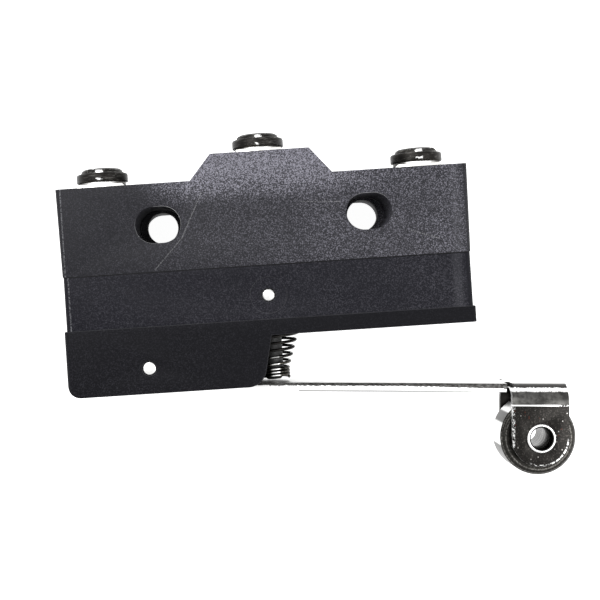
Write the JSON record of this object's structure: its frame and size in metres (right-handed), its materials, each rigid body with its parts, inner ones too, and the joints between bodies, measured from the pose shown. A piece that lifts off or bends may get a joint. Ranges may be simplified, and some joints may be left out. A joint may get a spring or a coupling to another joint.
{
  "type": "lever micro switch",
  "caption": "Snap-action basic switch with screw terminals, a long hinged lever and a steel roller.",
  "frame": {"origin": "midway between the two mounting holes, on the back face of the case", "axes": "+X along the case and towards the roller, +Y towards the screw terminals, +Z out of the front face"},
  "size_m": [0.0622, 0.0451, 0.0174],
  "materials": {
    "phenolic": "satin charcoal phenolic moulding, dusty and lightly scratched",
    "phenolic_dark": "satin black phenolic moulding, lightly scratched",
    "nylon": "dark grey moulded nylon",
    "steel": "bright turned steel",
    "lever_steel": "tarnished strip steel, bright on worn edges",
    "dark_steel": "dull tarnished plating",
    "spring_steel": "spring wire",
    "nickel": "worn nickel plating",
    "brass": "plated brass strip",
    "blade_copper": "copper-alloy spring strip",
    "silver": "silver contact rivet"
  },
  "bodies": {
    "root": {"base": "phenolic", "cover": "phenolic_dark", "hinge_cap": "phenolic_dark", "cover_pin_front": "steel", "cover_pin_rear": "steel", "hinge_pin": "steel", "return_spring": "spring_steel", "overtravel_spring": "spring_steel", "snap_blade": "blade_copper", "anchor_rivet": "steel", "terminal_common": "brass", "terminal_closed": "brass", "terminal_open": "brass", "contact_closed": "silver", "contact_open": "silver", "flat_washer_left": "nickel", "flat_washer_middle": "nickel", "flat_washer_right": "nickel", "cup_washer_left": "dark_steel", "cup_washer_middle": "dark_steel", "cup_washer_right": "dark_steel", "screw_left": "dark_steel", "screw_middle": "dark_steel", "screw_right": "dark_steel"},
    "lever_arm": {"lever": "lever_steel", "roller_rivet": "steel"},
    "roller": {"roller": "steel"},
    "plunger": {"plunger": "nylon"},
    "push_pin": {"push_pin": "nylon"},
    "moving_contact": {"moving_contact": "silver"}
  },
  "joints": [
    {"name": "lever_hinge", "type": "hinge", "parent": "root", "child": "lever_arm", "pos_m": [-0.01483, -0.01714, 0.00873], "axis": [0, 0, 1], "range_deg": [0, 10], "stiffness_Nm_per_rad": 0.2, "springref_deg": -14.32, "deforming": ["return_spring", "snap_blade", "overtravel_spring"]},
    {"name": "roller_spin", "type": "hinge", "parent": "lever_arm", "child": "roller", "pos_m": [0.03264, -0.02926, 0.00873], "axis": [0, 0, 1], "continuous": true},
    {"name": "plunger_slide", "type": "slide", "parent": "root", "child": "plunger", "axis": [0, 1, 0], "range_m": [0, 0.00263]},
    {"name": "push_pin_slide", "type": "slide", "parent": "root", "child": "push_pin", "axis": [0, 1, 0], "range_m": [0, 0.00062]},
    {"name": "contact_travel", "type": "slide", "parent": "root", "child": "moving_contact", "axis": [0, 1, 0], "range_m": [0, 0.0011]}
  ],
  "couplings": [
    {"joint": "plunger_slide", "follows": "lever_hinge", "m_per_rad": 0.01504},
    {"joint": "push_pin_slide", "follows": "lever_hinge", "m_per_rad": 0.0035},
    {"joint": "contact_travel", "follows": "lever_hinge", "m_per_rad": 0.00625}
  ]
}
